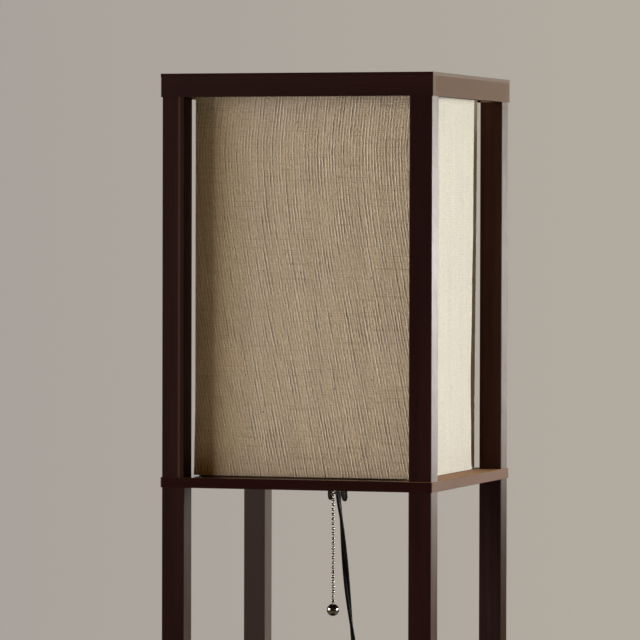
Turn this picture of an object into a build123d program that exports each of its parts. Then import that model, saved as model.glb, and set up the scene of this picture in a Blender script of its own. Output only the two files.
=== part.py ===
from build123d import *
import math
import os

# A shelf floor lamp: a square tower of four posts with four boards, a fabric shade box that
# stands between the upper posts, and a pull-chain lamp socket on the board under the shade.
# Millimetres. X runs along the front, Y into the depth, Z up, and the front faces -Y.
# The origin is on the floor under the lamp's centre.

# The frame
lamp_side = 260.0
lamp_height = 1600.0
board_thick = 9.5
board_corner = 1.0
board_edge = 0.5
shelf_pitch = 380.0
post_side = 21.5
post_inset = 1.2
post_edge = 0.8
upper_post_length = 348.5
rail_thick = 9.5
rail_high = 18.3
cap_thick = 3.2
cap_wide = 30.0
block_side = 13.0
glide_high = 3.0
glide_across = 16.0

# What screws the frame together
stud_across = 6.0
stud_length = 30.0
stud_hole = 6.4
insert_across = 8.0
insert_bore = 6.1
insert_length = 12.0
insert_hole = 8.2
insert_hole_deep = 14.0
screw_across = 5.0
screw_head = 9.0
screw_head_high = 2.4
screw_in_post = 20.0
screw_room = 0.4
nail_across = 3.0
nail_length = 12.0

# The shade
shade_side = 210.6
shade_thick = 0.8
shade_foot_gap = 1.2
shade_top_gap = 1.5
shade_slot = 12.0
ring_wire = 3.0
ring_corner = 8.0
ring_gap = 0.1

# The lamp socket, its nipple and its nuts
nipple_across = 9.8
nipple_bore = 7.5
nipple_hole = 10.4
nut_bore = 10.0
washer_across = 22.0
washer_thick = 1.2
nut_flats = 14.0
nut_high = 4.0
nipple_low = 1212.5
nipple_high = 1246.0
bushing_low = 1209.7
bushing_across = 10.0
bushing_bore = 6.5
bushing_sleeve = 7.3
bushing_sleeve_top = 1218.0
wing_hub = 12.5
wing_hub_low = 1213.0
wing_hub_high = 1220.2
wing_thick = 2.8
wing_round = 3.9
wing_upper = (9.4, 1215.8)
wing_lower = (13.4, 1207.0)
wing_turn = -39.0
socket_cap_low = 1236.0
socket_cap_high = 1258.0
socket_cap_across = 35.0
socket_wall = 1.2
body_low = 1251.0
body_high = 1280.0
body_across = 31.6
shell_low = 1258.4
shell_high = 1303.0
shell_across = 34.6
shell_bore = 32.2
screw_shell_across = 28.6
screw_shell_bore = 27.4
screw_shell_high = 1301.0
lead_across = 2.0
lead_spread = 1.8

# The pull chain and the lever that it works
chain_x = 2.5
chain_y = -22.0
chain_hole = 8.0
chain_travel = 10.0
bead_across = 3.2
bead_pitch = 4.5
link_wire = 1.0
lever_arm = 30.0
lever_height = 1270.0
lever_thick = 2.4
lever_wide = 3.0
lever_tip_wide = 6.0
lever_slot_wide = 2.2
lever_slot_long = 6.4
lever_boss = 6.0
lever_room = 4.4
pin_across = 2.5
pin_hole = 2.6
pin_length = 26.0
stop_gap = 0.5
knuckle_bead = 11
ball_across = 11.5
ball_height = 1103.0
ball_hole = 3.8

# The bulb
bulb_low = 1281.9
bulb_base_high = 26.6
bulb_base_across = 26.0
bulb_collar = 27.2
bulb_globe = 60.0
bulb_length = 108.0
bulb_neck = 26.8
glass_thick = 0.8

# The mains cord: a limp flat twin lead, shown as a round tube as wide as the lead
cord_across = 6.0
cord_length_wanted = 2440.0
cord_route = [
    (0.0, 0.0, 1218.0),
    (0.0, 0.0, 1205.5),
    (0.0, 6.2, 1186.0),
    (0.4, 17.0, 1152.0),
    (-0.2, 34.0, 1103.0),
    (0.4, 62.5, 1034.0),
    (-0.4, 98.0, 955.0),
    (0.2, 128.5, 888.0),
    (0.6, 144.5, 838.0),
    (-0.8, 141.6, 768.0),
    (0.4, 139.0, 690.0),
    (-2.2, 140.6, 610.0),
    (-2.6, 138.6, 530.0),
    (-5.6, 140.8, 448.0),
    (-6.4, 138.8, 366.0),
    (-9.2, 140.4, 286.0),
    (-10.4, 139.2, 206.0),
    (-14.0, 140.6, 134.0),
    (-15.6, 140.0, 84.0),
    (-14.6, 141.2, 40.0),
    (-2.6, 142.8, 13.0),
    (22.0, 143.8, 3.0),
    (49.0, 143.8, 3.0),
]
run_share = 0.45

# The coil in which the rest of the cord is put away, on the floor behind the lamp
coil_radius_out = 42.9
coil_pitch = 6.7
coil_low = 3.0
coil_turns_in = 2.35
coil_turns_climb = 0.5
coil_turns = 5.194
coil_widen_from = 4.85
coil_widen = 16.0
coil_drop_from = 5.05
coil_drop = 2.6
coil_start_angle = -90.0
steps_a_turn = 4

# The plug at the cord's end
plug_long = 27.0
plug_wide = 22.0
plug_edge = 3.0
relief_long = 14.0
relief_across_cord = 8.0
relief_across_plug = 12.0
blade_long = 17.0
blade_wide = 6.4
blade_thick = 1.5
blade_spread = 12.7

# Places that follow from the sizes above
half_side = lamp_side / 2
rail_top = lamp_height - cap_thick
rail_low = rail_top - rail_high
shade_board_top = rail_low - upper_post_length
board_names = ["shade_board", "upper_shelf", "middle_shelf", "lower_shelf"]
board_tops = [shade_board_top - shelf_pitch * level for level in range(len(board_names))]
post_place = half_side - post_inset - post_side / 2
block_place = half_side - rail_thick - block_side / 2
corners = {
    "front_left": (-1, -1),
    "front_right": (1, -1),
    "back_left": (-1, 1),
    "back_right": (1, 1),
}
chain_radius = math.hypot(chain_x, chain_y)
socket_turn = math.degrees(math.atan2(chain_x, -chain_y))
pivot_back = lever_arm - chain_radius
stop_bead_z = lever_height + lever_thick / 2 + stop_gap + bead_across / 2
first_bead_z = stop_bead_z - 2 * bead_pitch
coil_x = cord_route[-1][0] + cord_across
coil_y = cord_route[-1][1] + coil_radius_out


def block(x0, x1, y0, y1, z0, z1):
    """A plain block between two corners."""
    return Pos((x0 + x1) / 2, (y0 + y1) / 2, (z0 + z1) / 2) * Box(x1 - x0, y1 - y0, z1 - z0)


def rod(x, y, z0, z1, across):
    """An upright round rod."""
    return Pos(x, y, (z0 + z1) / 2) * Cylinder(across / 2, z1 - z0)


def tube(x, y, z0, z1, across, bore):
    """An upright round tube."""
    return rod(x, y, z0, z1, across) - rod(x, y, z0 - 1, z1 + 1, bore)


def turned(points):
    """A turned piece: an outline of radius and height, turned about the lamp's axis."""
    outline = Polyline(*[(r, 0, z) for r, z in points], close=True)
    return revolve(make_face(outline), Axis.Z)


def group(pieces):
    """Several loose solids in one node."""
    return Compound([solid for piece in pieces for solid in piece.solids()])


# The wooden frame


def board(top):
    """A square board with a hole for the stud in each corner."""
    low = top - board_thick
    square = RectangleRounded(lamp_side, lamp_side, board_corner)
    plate = Pos(0, 0, low) * extrude(square, board_thick)
    by_height = plate.faces().sort_by(Axis.Z)
    plate = fillet(by_height[0].edges() + by_height[-1].edges(), board_edge)
    for sx, sy in corners.values():
        plate -= rod(sx * post_place, sy * post_place, low - 1, top + 1, stud_hole)
    return plate


def shade_board():
    """The top board also has the nipple's hole and the pull chain's hole."""
    low = shade_board_top - board_thick
    plate = board(shade_board_top)
    plate -= rod(0, 0, low - 1, shade_board_top + 1, nipple_hole)
    plate -= rod(chain_x, chain_y, low - 1, shade_board_top + 1, chain_hole)
    return plate


def post(sx, sy, z0, z1):
    """A square post with slightly rounded long edges."""
    section = RectangleRounded(post_side, post_side, post_edge)
    return Pos(sx * post_place, sy * post_place, z0) * extrude(section, z1 - z0)


def insert_pocket(sx, sy, end, way):
    """The hole for a threaded insert in a post's end; way is +1 where the hole goes up."""
    z0, z1 = sorted((end - way, end + way * insert_hole_deep))
    return rod(sx * post_place, sy * post_place, z0, z1, insert_hole)


def upper_post(sx, sy):
    """A post beside the shade: an insert below, a screw from the top frame above."""
    stick = post(sx, sy, shade_board_top, rail_low)
    stick -= insert_pocket(sx, sy, shade_board_top, 1)
    hole_low = rail_low - screw_in_post - 1
    x, y = sx * block_place, sy * block_place
    return stick - rod(x, y, hole_low, rail_low + 1, screw_across + 0.1)


def shelf_post(sx, sy, level):
    """A post from one board up to the next."""
    low = board_tops[level + 1]
    high = board_tops[level] - board_thick
    stick = post(sx, sy, low, high)
    return stick - insert_pocket(sx, sy, low, 1) - insert_pocket(sx, sy, high, -1)


def foot(sx, sy):
    """A short leg under the lowest board."""
    high = board_tops[-1] - board_thick
    stick = post(sx, sy, glide_high, high)
    x, y = sx * post_place, sy * post_place
    stick -= insert_pocket(sx, sy, high, -1)
    return stick - rod(x, y, glide_high - 1, glide_high + nail_length + 1, nail_across + 0.1)


def glide(sx, sy):
    """A nail-on glide under a foot."""
    x, y = sx * post_place, sy * post_place
    return rod(x, y, 0, glide_high, glide_across) + rod(x, y, 1, glide_high + nail_length, nail_across)


def joint_studs():
    """Threaded studs through the boards, from post to post."""
    studs = []
    for top in board_tops:
        middle = top - board_thick / 2
        low, high = middle - stud_length / 2, middle + stud_length / 2
        for sx, sy in corners.values():
            studs.append(rod(sx * post_place, sy * post_place, low, high, stud_across))
    return group(studs)


def post_inserts():
    """Threaded inserts in the posts' ends, above and below each board."""
    pieces = []
    for top in board_tops:
        for sx, sy in corners.values():
            x, y = sx * post_place, sy * post_place
            under = top - board_thick
            pieces.append(tube(x, y, top, top + insert_length, insert_across, insert_bore))
            pieces.append(tube(x, y, under - insert_length, under, insert_across, insert_bore))
    return group(pieces)


def long_rail(sy):
    """The front or back rail, over the full width."""
    y0, y1 = sorted((sy * half_side, sy * (half_side - rail_thick)))
    rail = block(-half_side, half_side, y0, y1, rail_low, rail_top)
    ends = [edge for edge in rail.edges().filter_by(Axis.Z) if abs(edge.center().Y) > half_side - 1]
    return fillet(ends, post_edge)


def side_rail(sx):
    """A side rail, between the front and back rails."""
    x0, x1 = sorted((sx * half_side, sx * (half_side - rail_thick)))
    inner = half_side - rail_thick
    return block(x0, x1, -inner, inner, rail_low, rail_top)


def corner_block(sx, sy):
    """A glued block inside a corner of the rails, drilled for the screw."""
    x, y = sx * block_place, sy * block_place
    half = block_side / 2
    piece = block(x - half, x + half, y - half, y + half, rail_low, rail_top)
    return piece - rod(x, y, rail_low - 1, rail_top + 1, screw_across + screw_room)


def screw_shape(x, y, room):
    """A countersunk screw from the cap's face down into the post, or, with room, its hole."""
    head_r = (screw_head + room) / 2
    shank_r = (screw_across + room) / 2
    low = rail_low - screw_in_post
    shank = rod(x, y, low, lamp_height - room / 2, 2 * shank_r)
    cone = Pos(x, y, lamp_height - screw_head_high / 2) * Cone(shank_r, head_r, screw_head_high)
    return shank + cone


def top_cap():
    """Four mitred strips that close the rails' top and leave the middle open."""
    inner = half_side - cap_wide
    trapezium = Polyline(
        (-half_side, -half_side), (half_side, -half_side), (inner, -inner), (-inner, -inner), close=True
    )
    strip = Pos(0, 0, rail_top) * extrude(make_face(trapezium), cap_thick)
    strips = [Rot(Z=90 * turn) * strip for turn in range(4)]
    holes = [screw_shape(sx * block_place, sy * block_place, screw_room) for sx, sy in corners.values()]
    return group([piece - holes for piece in strips])


# The shade: one stiffened strip of cloth folded round two square wire rings


def shade_panels():
    """The strip's four faces, open where its two ends meet at the back right corner."""
    half = shade_side / 2
    inner = half - shade_thick
    low = shade_board_top + shade_foot_gap
    high = rail_top - shade_top_gap
    return {
        "shade_front": block(-half, half, -half, -inner, low, high),
        "shade_back": block(-half, half, inner, half, low, high),
        "shade_left": block(-half, -inner, -inner, inner, low, high),
        "shade_right": block(inner, half, -inner, half - shade_slot, low, high),
    }


def shade_ring(z):
    """A square ring of wire just inside the cloth."""
    side = shade_side - 2 * (shade_thick + ring_gap) - ring_wire
    path = Pos(0, 0, z) * RectangleRounded(side, side, ring_corner).wire()
    start = path @ 0
    section = Plane(origin=start, z_dir=path % 0) * Circle(ring_wire / 2)
    return sweep(section, path=path)


# The socket, with what holds it to the board


def wing_nut():
    """A wing nut whose two ears hang below its hub."""
    hub = tube(0, 0, wing_hub_low, wing_hub_high, wing_hub, nut_bore)
    upper = Vector(wing_upper[0], 0, wing_upper[1])
    lower = Vector(wing_lower[0], 0, wing_lower[1])
    along = lower - upper
    across = Vector(along.Z, 0, -along.X).normalized() * wing_round
    web = make_face(Polyline(upper + across, lower + across, lower - across, upper - across, close=True))
    ear = extrude(web, wing_thick / 2, both=True, dir=(0, 1, 0))
    for place in (upper, lower):
        ear += Pos(place) * Rot(X=90) * Cylinder(wing_round, wing_thick)
    return Rot(Z=wing_turn) * (hub + ear + Rot(Z=180) * ear)


def cord_bushing():
    """A bushing on the nipple's end, with a rounded lip."""
    lip_round = 1.8
    half = bushing_across / 2
    lip = rod(0, 0, bushing_low, nipple_low, bushing_across)
    lip = fillet(lip.edges().sort_by(Axis.Z)[0], lip_round)
    body = lip + rod(0, 0, nipple_low - 1, bushing_sleeve_top, bushing_sleeve)
    return body - rod(0, 0, bushing_low - 1, bushing_sleeve_top + half, bushing_bore)


def socket_nut():
    """A hexagon nut that clamps the nipple to the board."""
    low = shade_board_top + washer_thick
    nut = Pos(0, 0, low) * extrude(RegularPolygon(nut_flats / 2, 6, major_radius=False), nut_high)
    return nut - rod(0, 0, low - 1, low + nut_high + 1, nut_bore)


def socket_cap():
    """The cup at the socket's foot, screwed on the nipple."""
    rim = socket_cap_across / 2
    neck = 7.0
    neck_top = 1243.0
    shoulder = 1250.0
    floor_z = neck_top + 1.6
    return turned(
        [
            (nut_bore / 2, socket_cap_low),
            (neck, socket_cap_low),
            (neck, neck_top),
            (rim, shoulder),
            (rim, socket_cap_high),
            (rim - socket_wall, socket_cap_high),
            (rim - socket_wall, shoulder + 0.6),
            (neck + 0.4, floor_z),
            (nut_bore / 2, floor_z),
        ]
    )


def lever_space():
    """The slot in which the lever swings, from behind its pin out past the shell."""
    half = lever_room / 2
    back = pivot_back + lever_boss / 2 + 1
    low = lever_height - chain_travel - 2
    return block(-half, half, -shell_across, back, low, lever_height + 4)


def socket_body():
    """The switch block inside the shell."""
    lead_hole = 9.0
    lead_hole_top = 1257.0
    body = rod(0, 0, body_low, body_high, body_across)
    body -= rod(0, 0, body_low - 1, lead_hole_top, lead_hole)
    body -= lever_space()
    return body - Pos(0, pivot_back, lever_height) * Rot(Y=90) * Cylinder(pin_hole / 2, body_across)


def socket_shell():
    """The outer sleeve, with a window for the lever."""
    window_half = 4.0
    window_top = lever_height + 4
    shell = tube(0, 0, shell_low, shell_high, shell_across, shell_bore)
    return shell - block(-window_half, window_half, -shell_across, 0, shell_low - 1, window_top)


def centre_contact():
    """The sprung tongue under the bulb's tip."""
    tongue_across = 8.0
    return rod(0, 0, body_high, bulb_low - 0.5, tongue_across)


def lever_pin():
    """The pin on which the lever turns."""
    return Pos(0, pivot_back, lever_height) * Rot(Y=90) * Cylinder(pin_across / 2, pin_length)


def switch_lever():
    """The lever that the chain pulls down; it points to the front at rest."""
    tip = lever_arm + 6.0
    neck = lever_arm - 3.0
    boss_long = lever_wide + 0.8
    slot_middle = lever_arm + 1.0
    low, high = lever_height - lever_thick / 2, lever_height + lever_thick / 2
    arm = block(-lever_wide / 2, lever_wide / 2, pivot_back - neck - 2, pivot_back, low, high)
    flat = Pos(0, pivot_back - (neck + tip) / 2, low) * extrude(
        SlotOverall(tip - neck, lever_tip_wide, rotation=90), lever_thick
    )
    boss = Pos(0, pivot_back, lever_height) * Rot(Y=90) * Cylinder(lever_boss / 2, boss_long)
    slot = Pos(0, pivot_back - slot_middle, low - 1) * extrude(
        SlotOverall(lever_slot_long, lever_slot_wide, rotation=90), lever_thick + 2
    )
    bore = Pos(0, pivot_back, lever_height) * Rot(Y=90) * Cylinder(pin_hole / 2, boss_long + 2)
    return arm + flat + boss - slot - bore


def inner_leads():
    """The cord's two cores inside the nipple, up to the switch block."""
    top = 1256.5
    return group([rod(side * lead_spread, 0, bushing_sleeve_top, top, lead_across) for side in (-1, 1)])


# The bulb


def bulb_outline(neck_r, globe_r, low):
    """A turned bulb: a straight neck line that meets the globe's circle smoothly."""
    centre = bulb_low + bulb_length - bulb_globe / 2
    reach = math.hypot(neck_r, centre - low)
    point_angle = math.atan2(low - centre, neck_r)
    touch_angle = point_angle + math.acos(globe_r / reach)
    touch = (globe_r * math.cos(touch_angle), 0, centre + globe_r * math.sin(touch_angle))
    middle_angle = (touch_angle + math.pi / 2) / 2
    middle = (globe_r * math.cos(middle_angle), 0, centre + globe_r * math.sin(middle_angle))
    neck = Polyline((0, 0, centre + globe_r), (0, 0, low), (neck_r, 0, low), touch)
    globe = ThreePointArc(touch, middle, (0, 0, centre + globe_r))
    return revolve(make_face(neck.edges() + globe.edges()), Axis.Z)


def bulb_glass():
    """The bulb's glass, a thin shell open at its neck."""
    low = bulb_low + bulb_base_high
    outside = bulb_outline(bulb_neck / 2, bulb_globe / 2, low)
    inside = bulb_outline(bulb_neck / 2 - glass_thick, bulb_globe / 2 - glass_thick, low - 1)
    return outside - inside


def bulb_base():
    """The bulb's screw base with its insulator and tip."""
    tip, insulator, thread, collar = 4.5, 10.0, bulb_base_across / 2, bulb_collar / 2
    return turned(
        [
            (0, bulb_low),
            (tip, bulb_low),
            (tip, bulb_low + 1.4),
            (insulator, bulb_low + 4.4),
            (thread, bulb_low + 5.2),
            (thread, bulb_low + bulb_base_high - 2.5),
            (collar, bulb_low + bulb_base_high - 2.0),
            (collar, bulb_low + bulb_base_high),
            (0, bulb_low + bulb_base_high),
        ]
    )


# The pull chain


def bead_string(bead_heights, top, low):
    """Beads on a wire, turned about the chain's own line, from top down to low."""
    wire_r, bead_r = link_wire / 2, bead_across / 2
    half_high = math.sqrt(bead_r**2 - wire_r**2)
    edges = []
    at = (0, 0, top)
    for height in bead_heights:
        upper, lower = (wire_r, 0, height + half_high), (wire_r, 0, height - half_high)
        if not edges and top > height + half_high:
            edges += Polyline(at, (wire_r, 0, top), upper).edges()
        elif not edges:
            upper = (0, 0, height + bead_r)
        else:
            edges += Line(at, upper).edges()
        edges += ThreePointArc(upper, (bead_r, 0, height), lower).edges()
        at = lower
    if low < at[2] - 0.01:
        edges += Polyline(at, (wire_r, 0, low), (0, 0, low)).edges()
    start = edges[0] @ 0
    end = edges[-1] @ 1
    edges += Line(end, start).edges()
    return Pos(chain_x, chain_y, 0) * revolve(make_face(edges), Axis.Z)


def bead_height(number):
    """The height of a bead counted from the first one under the lever."""
    return first_bead_z - bead_pitch * number


def chain_top():
    """The chain from its stop bead over the lever, down through the board."""
    heights = [stop_bead_z] + [bead_height(number) for number in range(knuckle_bead)]
    stop_gap_low = bead_across / 2 + 0.4
    return bead_string(heights, stop_bead_z, bead_height(knuckle_bead) + stop_gap_low)


def chain_knuckle():
    """The bead just under the board, about which the chain swings."""
    return Pos(chain_x, chain_y, bead_height(knuckle_bead)) * Sphere(bead_across / 2)


def pull_chain():
    """The hanging chain; its last bead is held in the ball."""
    count = round((bead_height(knuckle_bead) - ball_height) / bead_pitch)
    heights = [bead_height(knuckle_bead + number) for number in range(1, count)]
    top = bead_height(knuckle_bead) - bead_across / 2 - 0.3
    return bead_string(heights, top, heights[-1] - bead_across / 2 + 0.2)


def pull_ball():
    """The ball at the chain's end, drilled for the last bead."""
    ball = Pos(chain_x, chain_y, ball_height) * Sphere(ball_across / 2)
    return ball - rod(chain_x, chain_y, ball_height + 1.4, ball_height + ball_across, ball_hole)


# The mains cord


def route_radii(points):
    """The largest arc that each corner's two runs leave room for."""
    radii = []
    for before, here, after in zip(points, points[1:], points[2:]):
        come, go = Vector(here) - Vector(before), Vector(after) - Vector(here)
        half_turn = math.radians(come.get_angle(go)) / 2
        radii.append(run_share * min(come.length, go.length) / math.tan(half_turn))
    return radii


def power_cord():
    """The cord from the bushing over the upper shelf's back edge down to the floor."""
    radii = route_radii(cord_route)
    path = FilletPolyline(*cord_route, radius=radii)
    section = Plane(origin=path @ 0, z_dir=path % 0) * Circle(cord_across / 2)
    solid = sweep(section, path=path)
    print("cord arc radii", [round(radius) for radius in radii])
    print_volume("power_cord", solid, path.length)
    return solid, path.length


def coil_radius(turn):
    """The coil's radius: in, back out after the climb, and wider towards the plug."""
    inner = coil_radius_out - coil_pitch * coil_turns_in
    climbed = (turn - coil_turns_in) / coil_turns_climb
    if climbed <= 0:
        return coil_radius_out - coil_pitch * turn
    if climbed <= 1:
        return inner + coil_pitch * coil_turns_climb * (climbed**2 - climbed)
    widened = max(0.0, (turn - coil_widen_from) / (coil_turns - coil_widen_from))
    return inner + coil_pitch * (turn - coil_turns_in - coil_turns_climb) + coil_widen * ease(widened)


def coil_height(turn):
    """The coil's height: two layers, then down a little to the plug."""
    climbed = min(1.0, max(0.0, (turn - coil_turns_in) / coil_turns_climb))
    dropped = max(0.0, (turn - coil_drop_from) / (coil_turns - coil_drop_from))
    return coil_low + coil_pitch * ease(climbed) - coil_drop * ease(dropped)


def ease(share):
    """A smooth step from 0 to 1."""
    return share * share * (3 - 2 * share)


def coil_point(turn):
    """A point of the coil's centre line."""
    angle = math.radians(coil_start_angle + 360 * turn)
    radius = coil_radius(turn)
    return Vector(
        coil_x + radius * math.cos(angle), coil_y + radius * math.sin(angle), coil_height(turn)
    )


def coil_way(turn):
    """The coil's direction at a point; it starts and ends level."""
    step = 1e-4
    low, high = max(0.0, turn - step), min(coil_turns, turn + step)
    way = coil_point(high) - coil_point(low)
    if turn in (0.0, coil_turns):
        way = Vector(way.X, way.Y, 0)
    if turn == 0.0:
        way = Vector(1, 0, 0)
    return way.normalized()


def biarc(start, start_way, end, end_way):
    """Two arcs that join two points smoothly in both directions."""
    chord = end - start
    sum_way = start_way + end_way
    spread = 2 * (1 - start_way.dot(end_way))
    lean = chord.dot(sum_way)
    reach = (-lean + math.sqrt(lean**2 + spread * chord.dot(chord))) / spread
    first = start + start_way * reach
    second = end - end_way * reach
    middle = (first + second) / 2
    middle_way = (second - first).normalized()
    return [
        TangentArc(start, middle, tangent=start_way).edge(),
        TangentArc(middle, end, tangent=middle_way).edge(),
    ]


def cord_coil():
    """The coil, one unbroken tube with a straight end at each side."""
    count = math.ceil(coil_turns * steps_a_turn)
    turns = [coil_turns * step / count for step in range(count + 1)]
    start, end = coil_point(0.0), coil_point(coil_turns)
    edges = [Line(start - coil_way(0.0) * cord_across, start).edge()]
    for low, high in zip(turns, turns[1:]):
        edges += biarc(coil_point(low), coil_way(low), coil_point(high), coil_way(high))
    edges.append(Line(end, end + coil_way(coil_turns) * cord_across).edge())
    path = Wire(edges)
    section = Plane(origin=path @ 0, z_dir=path % 0) * Circle(cord_across / 2)
    solid = sweep(section, path=path)
    print("coil's least gap to itself", round(least_gap(path), 2))
    print_volume("cord_coil", solid, path.length)
    return solid, path.length


def least_gap(path):
    """The least clear space between two stretches of the coil, measured on points."""
    spacing = 1.5
    apart = 3 * cord_across
    count = int(path.length / spacing)
    points = [path.position_at(step / count) for step in range(count + 1)]
    near = round(apart / spacing)
    return min(
        (a - b).length - cord_across for i, a in enumerate(points) for b in points[i + near :]
    )


def print_volume(name, solid, length):
    """Compares a swept tube's volume with its section times its length."""
    expected = math.pi * (cord_across / 2) ** 2 * length
    print(name, "length", round(length, 1), "volume", round(solid.volume), "expected", round(expected))


def plug_frame():
    """The plug's own frame: its z runs from the cord's end towards the blades."""
    way = coil_way(coil_turns)
    start = coil_point(coil_turns) + way * cord_across
    return Plane(origin=start, z_dir=way, x_dir=Vector(0, 0, 1).cross(way))


def plug_body():
    """The moulded plug with its tapered strain relief; it lies on the floor."""
    plug_high = 2 * coil_point(coil_turns).Z
    grip = Pos(0, 0, relief_long + plug_long / 2) * Box(plug_wide, plug_high, plug_long)
    grip = fillet(grip.edges().filter_by(Axis.Z), plug_edge)
    relief = Pos(0, 0, relief_long / 2) * Cone(relief_across_cord / 2, relief_across_plug / 2, relief_long)
    return plug_frame() * (grip + relief)


def plug_blades():
    """The plug's two flat blades."""
    middle = relief_long + plug_long + blade_long / 2
    blade = Box(blade_thick, blade_wide, blade_long)
    pair = [plug_frame() * Pos(side * blade_spread / 2, 0, middle) * blade for side in (-1, 1)]
    return group(pair)


def socket_nodes():
    """The socket's pieces, turned so that the lever points at the chain."""
    shell = tube(0, 0, body_high, screw_shell_high, screw_shell_across, screw_shell_bore)
    pieces = {
        "socket_cap": socket_cap(),
        "socket_body": socket_body(),
        "socket_shell": socket_shell(),
        "screw_shell": shell,
        "centre_contact": centre_contact(),
        "lever_pin": lever_pin(),
        "switch_lever": switch_lever(),
    }
    return {name: Rot(Z=socket_turn) * piece for name, piece in pieces.items()}


def lamp_nodes():
    """Every piece of the lamp by its node's name."""
    nodes = {"shade_board": shade_board()}
    for name, top in zip(board_names[1:], board_tops[1:]):
        nodes[name] = board(top)
    tiers = ["second", "third", "lowest"]
    for place, (sx, sy) in corners.items():
        nodes[f"upper_post_{place}"] = upper_post(sx, sy)
        for level, tier in enumerate(tiers):
            nodes[f"{tier}_post_{place}"] = shelf_post(sx, sy, level)
    nodes["feet"] = group([foot(sx, sy) for sx, sy in corners.values()])
    nodes["glides"] = group([glide(sx, sy) for sx, sy in corners.values()])
    nodes["joint_studs"] = joint_studs()
    nodes["post_inserts"] = post_inserts()
    nodes["front_rail"] = long_rail(-1)
    nodes["back_rail"] = long_rail(1)
    nodes["left_rail"] = side_rail(-1)
    nodes["right_rail"] = side_rail(1)
    nodes["top_cap"] = top_cap()
    nodes["corner_blocks"] = group([corner_block(sx, sy) for sx, sy in corners.values()])
    nodes["top_screws"] = group(
        [screw_shape(sx * block_place, sy * block_place, 0.0) for sx, sy in corners.values()]
    )
    nodes.update(shade_panels())
    ring_low = shade_board_top + ring_wire / 2
    ring_high = rail_top - shade_top_gap - ring_wire
    nodes["shade_rings"] = group([shade_ring(ring_low), shade_ring(ring_high)])
    nodes["nipple"] = tube(0, 0, nipple_low, nipple_high, nipple_across, nipple_bore)
    washer_top = shade_board_top + washer_thick
    nodes["socket_washer"] = tube(0, 0, shade_board_top, washer_top, washer_across, nut_bore)
    nodes["socket_nut"] = socket_nut()
    nodes["wing_nut"] = wing_nut()
    nodes["cord_bushing"] = cord_bushing()
    nodes["inner_leads"] = inner_leads()
    nodes.update(socket_nodes())
    nodes["bulb_glass"] = bulb_glass()
    nodes["bulb_base"] = bulb_base()
    nodes["chain_top"] = chain_top()
    nodes["chain_knuckle"] = chain_knuckle()
    nodes["pull_chain"] = pull_chain()
    nodes["pull_ball"] = pull_ball()
    nodes["power_cord"], free_length = power_cord()
    nodes["cord_coil"], coil_length = cord_coil()
    nodes["plug_body"] = plug_body()
    nodes["plug_blades"] = plug_blades()
    print("cord length", round(free_length + coil_length), "wanted", cord_length_wanted)
    return nodes


os.makedirs("parts", exist_ok=True)
for node_name, shape in lamp_nodes().items():
    export_step(shape, f"parts/{node_name}.step")
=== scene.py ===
import math
import bmesh
import bpy
from mathutils import Matrix, Vector


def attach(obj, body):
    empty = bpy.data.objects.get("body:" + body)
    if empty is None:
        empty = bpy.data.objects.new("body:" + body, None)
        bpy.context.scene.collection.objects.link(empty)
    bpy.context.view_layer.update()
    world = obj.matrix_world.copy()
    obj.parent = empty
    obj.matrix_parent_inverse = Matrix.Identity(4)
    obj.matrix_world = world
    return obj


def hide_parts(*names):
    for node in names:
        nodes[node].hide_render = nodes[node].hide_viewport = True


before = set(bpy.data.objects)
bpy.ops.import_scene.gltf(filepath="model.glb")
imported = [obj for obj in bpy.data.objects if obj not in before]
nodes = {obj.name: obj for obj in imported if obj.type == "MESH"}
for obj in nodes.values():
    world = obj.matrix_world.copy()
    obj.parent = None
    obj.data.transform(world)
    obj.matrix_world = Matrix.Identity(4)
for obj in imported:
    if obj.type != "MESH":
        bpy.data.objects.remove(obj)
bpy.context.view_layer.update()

# A shelf floor lamp: dark wooden tower, cloth shade, pull-chain socket and a thin black lead.
# Metres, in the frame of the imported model.
scene = bpy.context.scene


# Small helpers

def ease(x):
    x = min(1.0, max(0.0, x))
    return x * x * (3 - 2 * x)


def clearSelection():
    if bpy.context.object and bpy.context.object.mode != "OBJECT":
        bpy.ops.object.mode_set(mode="OBJECT")
    bpy.ops.object.select_all(action="DESELECT")


def pickOnly(piece):
    clearSelection()
    piece.select_set(True)
    bpy.context.view_layer.objects.active = piece


def nameNew(name):
    piece = bpy.context.object
    piece.name = name
    piece.data.name = name
    return piece


def editFaces(piece, test=lambda middle, out: True):
    # edit mode, with only the faces that pass the test selected
    if piece.mode != "EDIT":
        bpy.ops.object.mode_set(mode="EDIT")
    bpy.ops.mesh.select_mode(type="FACE")
    bpy.ops.mesh.select_all(action="DESELECT")
    mesh = bmesh.from_edit_mesh(piece.data)
    for face in mesh.faces:
        face.select_set(bool(test(face.calc_center_median(), face.normal)))
    bmesh.update_edit_mesh(piece.data)


def editAll(piece):
    pickOnly(piece)
    bpy.ops.object.mode_set(mode="EDIT")
    bpy.ops.mesh.select_all(action="SELECT")


def smooth(angle):
    bpy.ops.object.mode_set(mode="OBJECT")
    bpy.ops.object.shade_smooth_by_angle(angle=math.radians(angle))


def cutAcross(piece, places, way):
    # a ring of edges round the whole piece at each of these places along an axis
    for place in places:
        editFaces(piece)
        bpy.ops.mesh.bisect(plane_co=place * Vector(way), plane_no=way)


def raiseFaces(piece, test, height):
    editFaces(piece, test)
    bpy.ops.mesh.extrude_region_shrink_fatten(TRANSFORM_OT_shrink_fatten={"value": height})


def addModifier(piece, kind, **settings):
    modifier = piece.modifiers.new(kind.title(), kind)
    for key, value in settings.items():
        setattr(modifier, key, value)
    pickOnly(piece)
    bpy.ops.object.modifier_apply(modifier=modifier.name)


def bevel(piece, width, segments, angle):
    clearSelection()
    sharp = {"limit_method": "ANGLE", "angle_limit": math.radians(angle)}
    addModifier(piece, "BEVEL", width=width, segments=segments, **sharp)


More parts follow.
